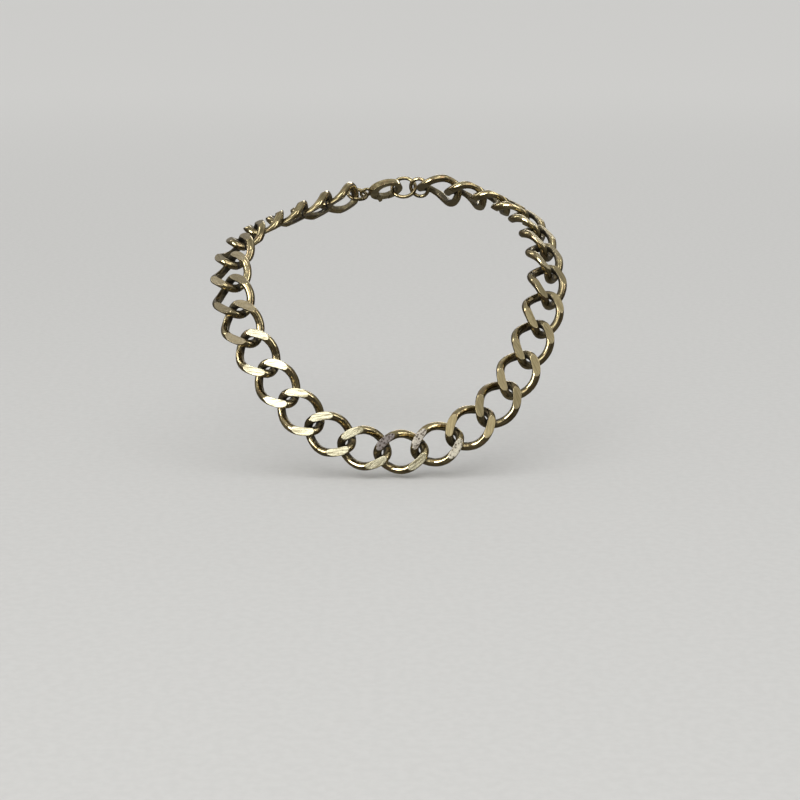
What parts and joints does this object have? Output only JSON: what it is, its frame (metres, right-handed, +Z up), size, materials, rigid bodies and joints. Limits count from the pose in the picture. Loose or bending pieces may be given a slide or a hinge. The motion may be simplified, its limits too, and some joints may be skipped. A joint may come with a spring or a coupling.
{
  "type": "chain necklace",
  "caption": "Chunky curb chain necklace with twisted oval links, ground flats, jump rings and a lobster clasp, laid as worn round a neck.",
  "frame": {"origin": "on the neck's axis, level with the nape of the neck, where the neck holds the chain", "axes": "+X towards the wearer's left, +Y towards the back of the neck, +Z up"},
  "size_m": [0.1781, 0.1684, 0.1295],
  "materials": {
    "chain_gold": "antiqued gold plate, worn to a satin on the strands, with dark patina in the recesses and ground flats on the faces",
    "fitting_gold": "the same antiqued gold plate, smooth",
    "spring_steel": "plain drawn wire"
  },
  "bodies": {
    "link_front": {"link_front": "chain_gold"},
    "link_right_01": {"link_right_01": "chain_gold"},
    "link_right_02": {"link_right_02": "chain_gold"},
    "link_right_03": {"link_right_03": "chain_gold"},
    "link_right_04": {"link_right_04": "chain_gold"},
    "link_right_05": {"link_right_05": "chain_gold"},
    "link_right_06": {"link_right_06": "chain_gold"},
    "link_right_07": {"link_right_07": "chain_gold"},
    "link_right_08": {"link_right_08": "chain_gold"},
    "link_right_09": {"link_right_09": "chain_gold"},
    "link_right_10": {"link_right_10": "chain_gold"},
    "link_right_11": {"link_right_11": "chain_gold"},
    "link_right_12": {"link_right_12": "chain_gold"},
    "link_right_13": {"link_right_13": "chain_gold"},
    "link_right_14": {"link_right_14": "chain_gold"},
    "link_left_01": {"link_left_01": "chain_gold"},
    "link_left_02": {"link_left_02": "chain_gold"},
    "link_left_03": {"link_left_03": "chain_gold"},
    "link_left_04": {"link_left_04": "chain_gold"},
    "link_left_05": {"link_left_05": "chain_gold"},
    "link_left_06": {"link_left_06": "chain_gold"},
    "link_left_07": {"link_left_07": "chain_gold"},
    "link_left_08": {"link_left_08": "chain_gold"},
    "link_left_09": {"link_left_09": "chain_gold"},
    "link_left_10": {"link_left_10": "chain_gold"},
    "link_left_11": {"link_left_11": "chain_gold"},
    "link_left_12": {"link_left_12": "chain_gold"},
    "link_left_13": {"link_left_13": "chain_gold"},
    "link_left_14": {"link_left_14": "chain_gold"},
    "jump_ring_right": {"jump_ring_right": "fitting_gold"},
    "catch_ring": {"catch_ring": "fitting_gold"},
    "jump_ring_left": {"jump_ring_left": "fitting_gold"},
    "clasp": {"clasp_claw": "fitting_gold", "clasp_rivet": "fitting_gold", "clasp_spring": "spring_steel"},
    "clasp_lever": {"clasp_lever": "fitting_gold"}
  },
  "joints": [
    {"name": "hinge_right_01", "type": "hinge", "parent": "link_front", "child": "link_right_01", "pos_m": [0.01131, -0.08561, -0.10675], "axis": [0.0478, -0.9423, 0.3314], "range_deg": [-5.4, 5.4]},
    {"name": "hinge_right_02", "type": "hinge", "parent": "link_right_01", "child": "link_right_02", "pos_m": [0.02814, -0.08395, -0.10058], "axis": [0.0478, -0.9423, 0.3314], "range_deg": [-14, 14]},
    {"name": "hinge_right_03", "type": "hinge", "parent": "link_right_02", "child": "link_right_03", "pos_m": [0.04314, -0.08024, -0.09134], "axis": [0.0478, -0.9423, 0.3314], "range_deg": [-13.3, 13.3]},
    {"name": "hinge_right_04", "type": "hinge", "parent": "link_right_03", "child": "link_right_04", "pos_m": [0.05468, -0.07347, -0.0793], "axis": [0.0478, -0.9423, 0.3314], "range_deg": [-4.4, 4.4]},
    {"name": "hinge_right_05", "type": "hinge", "parent": "link_right_04", "child": "link_right_05", "pos_m": [0.06299, -0.06507, -0.06572], "axis": [0.3585, -0.7235, 0.5899], "range_deg": [-6, 6]},
    {"name": "hinge_right_06", "type": "hinge", "parent": "link_right_05", "child": "link_right_06", "pos_m": [0.06946, -0.05507, -0.05222], "axis": [0.3585, -0.7235, 0.5899], "range_deg": [-14, 14]},
    {"name": "hinge_right_07", "type": "hinge", "parent": "link_right_06", "child": "link_right_07", "pos_m": [0.0741, -0.04297, -0.03974], "axis": [0.3585, -0.7235, 0.5899], "range_deg": [-11.5, 11.5]},
    {"name": "hinge_right_08", "type": "hinge", "parent": "link_right_07", "child": "link_right_08", "pos_m": [0.07567, -0.02893, -0.02858], "axis": [0.3585, -0.7235, 0.5899], "range_deg": [-3.1, 3.1]},
    {"name": "hinge_right_09", "type": "hinge", "parent": "link_right_08", "child": "link_right_09", "pos_m": [0.07415, -0.01345, -0.01951], "axis": [0.5054, -0.1244, 0.8539], "range_deg": [-6, 6]},
    {"name": "hinge_right_10", "type": "hinge", "parent": "link_right_09", "child": "link_right_10", "pos_m": [0.07129, 0.00279, -0.0123], "axis": [0.5054, -0.1244, 0.8539], "range_deg": [-14, 14]},
    {"name": "hinge_right_11", "type": "hinge", "parent": "link_right_10", "child": "link_right_11", "pos_m": [0.06582, 0.0189, -0.00642], "axis": [0.5054, -0.1244, 0.8539], "range_deg": [-11.3, 11.3]},
    {"name": "hinge_right_12", "type": "hinge", "parent": "link_right_11", "child": "link_right_12", "pos_m": [0.05618, 0.03347, -0.0021], "axis": [0.5054, -0.1244, 0.8539], "range_deg": [-3, 3]},
    {"name": "hinge_right_13", "type": "hinge", "parent": "link_right_12", "child": "link_right_13", "pos_m": [0.04427, 0.04672, 0.00049], "axis": [0.3818, 0.5637, 0.7324], "range_deg": [-4.6, 4.6]},
    {"name": "hinge_right_14", "type": "hinge", "parent": "link_right_13", "child": "link_right_14", "pos_m": [0.03104, 0.05881, 0.00216], "axis": [0.3818, 0.5637, 0.7324], "range_deg": [-11.6, 11.6]},
    {"name": "hinge_right_15", "type": "hinge", "parent": "link_right_14", "child": "jump_ring_right", "pos_m": [0.01594, 0.06857, 0.00307], "axis": [0.3818, 0.5637, 0.7324], "range_deg": [-14, 14]},
    {"name": "hinge_right_16", "type": "hinge", "parent": "jump_ring_right", "child": "catch_ring", "pos_m": [0.0089, 0.07115, 0.00316], "axis": [0.3818, 0.5637, 0.7324], "range_deg": [-7.3, 7.3]},
    {"name": "hinge_left_01", "type": "hinge", "parent": "link_front", "child": "link_left_01", "pos_m": [-0.00665, -0.08614, -0.10778], "axis": [-0.0188, -0.9654, 0.2601], "range_deg": [-5.4, 5.4]},
    {"name": "hinge_left_02", "type": "hinge", "parent": "link_left_01", "child": "link_left_02", "pos_m": [-0.02403, -0.085, -0.10326], "axis": [-0.0188, -0.9654, 0.2601], "range_deg": [-14, 14]},
    {"name": "hinge_left_03", "type": "hinge", "parent": "link_left_02", "child": "link_left_03", "pos_m": [-0.03988, -0.08238, -0.09513], "axis": [-0.0188, -0.9654, 0.2601], "range_deg": [-13.2, 13.2]},
    {"name": "hinge_left_04", "type": "hinge", "parent": "link_left_03", "child": "link_left_04", "pos_m": [-0.05254, -0.0785, -0.08294], "axis": [-0.0188, -0.9654, 0.2601], "range_deg": [-4.3, 4.3]},
    {"name": "hinge_left_05", "type": "hinge", "parent": "link_left_04", "child": "link_left_05", "pos_m": [-0.06294, -0.07279, -0.0694], "axis": [-0.1895, -0.7681, 0.6116], "range_deg": [-5.2, 5.2]},
    {"name": "hinge_left_06", "type": "hinge", "parent": "link_left_05", "child": "link_left_06", "pos_m": [-0.07217, -0.06442, -0.05641], "axis": [-0.1895, -0.7681, 0.6116], "range_deg": [-14, 14]},
    {"name": "hinge_left_07", "type": "hinge", "parent": "link_left_06", "child": "link_left_07", "pos_m": [-0.07888, -0.05333, -0.04392], "axis": [-0.1895, -0.7681, 0.6116], "range_deg": [-13.8, 13.8]},
    {"name": "hinge_left_08", "type": "hinge", "parent": "link_left_07", "child": "link_left_08", "pos_m": [-0.08224, -0.0393, -0.03316], "axis": [-0.1895, -0.7681, 0.6116], "range_deg": [-4.7, 4.7]},
    {"name": "hinge_left_09", "type": "hinge", "parent": "link_left_08", "child": "link_left_09", "pos_m": [-0.08279, -0.02376, -0.02409], "axis": [-0.4331, -0.0951, 0.8963], "range_deg": [-5.9, 5.9]},
    {"name": "hinge_left_10", "type": "hinge", "parent": "link_left_09", "child": "link_left_10", "pos_m": [-0.07944, -0.0076, -0.01689], "axis": [-0.4331, -0.0951, 0.8963], "range_deg": [-14, 14]},
    {"name": "hinge_left_11", "type": "hinge", "parent": "link_left_10", "child": "link_left_11", "pos_m": [-0.07283, 0.00851, -0.01234], "axis": [-0.4331, -0.0951, 0.8963], "range_deg": [-11.8, 11.8]},
    {"name": "hinge_left_12", "type": "hinge", "parent": "link_left_11", "child": "link_left_12", "pos_m": [-0.06269, 0.023, -0.009], "axis": [-0.4331, -0.0951, 0.8963], "range_deg": [-3.4, 3.4]},
    {"name": "hinge_left_13", "type": "hinge", "parent": "link_left_12", "child": "link_left_13", "pos_m": [-0.05046, 0.03582, -0.00583], "axis": [-0.4998, 0.4227, 0.756], "range_deg": [-4.2, 4.2]},
    {"name": "hinge_left_14", "type": "hinge", "parent": "link_left_13", "child": "link_left_14", "pos_m": [-0.0378, 0.04827, -0.00291], "axis": [-0.4998, 0.4227, 0.756], "range_deg": [-11.2, 11.2]},
    {"name": "hinge_left_15", "type": "hinge", "parent": "link_left_14", "child": "jump_ring_left", "pos_m": [-0.02425, 0.05982, -0.00022], "axis": [-0.4998, 0.4227, 0.756], "range_deg": [-14, 14]},
    {"name": "hinge_left_16", "type": "hinge", "parent": "jump_ring_left", "child": "clasp", "pos_m": [-0.01811, 0.06417, 0.00081], "axis": [-0.4998, 0.4227, 0.756], "range_deg": [-7.4, 7.4]},
    {"name": "lever_pivot", "type": "hinge", "parent": "clasp", "child": "clasp_lever", "pos_m": [-0.01161, 0.06905, -0.00068], "axis": [0.369, -0.6841, -0.6291], "range_deg": [0, 20], "stiffness_Nm_per_rad": 0.01, "springref_deg": -28.65}
  ],
  "couplings": [
    {"joint": "hinge_right_01", "follows": "hinge_right_02", "ratio": -0.36406},
    {"joint": "hinge_right_03", "follows": "hinge_right_02", "ratio": -0.93037},
    {"joint": "hinge_right_04", "follows": "hinge_right_02", "ratio": 0.29443},
    {"joint": "hinge_right_05", "follows": "hinge_right_06", "ratio": -0.40416},
    {"joint": "hinge_right_07", "follows": "hinge_right_06", "ratio": -0.79806},
    {"joint": "hinge_right_08", "follows": "hinge_right_06", "ratio": 0.20222},
    {"joint": "hinge_right_09", "follows": "hinge_right_10", "ratio": -0.40818},
    {"joint": "hinge_right_11", "follows": "hinge_right_10", "ratio": -0.78788},
    {"joint": "hinge_right_12", "follows": "hinge_right_10", "ratio": 0.19606},
    {"joint": "hinge_right_13", "follows": "hinge_right_15", "ratio": 0.30545},
    {"joint": "hinge_right_14", "follows": "hinge_right_15", "ratio": -0.80823},
    {"joint": "hinge_right_16", "follows": "hinge_right_15", "ratio": -0.49722},
    {"joint": "hinge_left_01", "follows": "hinge_left_02", "ratio": -0.36719},
    {"joint": "hinge_left_03", "follows": "hinge_left_02", "ratio": -0.92092},
    {"joint": "hinge_left_04", "follows": "hinge_left_02", "ratio": 0.28811},
    {"joint": "hinge_left_05", "follows": "hinge_left_06", "ratio": -0.35155},
    {"joint": "hinge_left_07", "follows": "hinge_left_06", "ratio": -0.96374},
    {"joint": "hinge_left_08", "follows": "hinge_left_06", "ratio": 0.31529},
    {"joint": "hinge_left_09", "follows": "hinge_left_10", "ratio": -0.39691},
    {"joint": "hinge_left_11", "follows": "hinge_left_10", "ratio": -0.82479},
    {"joint": "hinge_left_12", "follows": "hinge_left_10", "ratio": 0.2217},
    {"joint": "hinge_left_13", "follows": "hinge_left_15", "ratio": 0.28188},
    {"joint": "hinge_left_14", "follows": "hinge_left_15", "ratio": -0.77584},
    {"joint": "hinge_left_16", "follows": "hinge_left_15", "ratio": -0.50605}
  ]
}
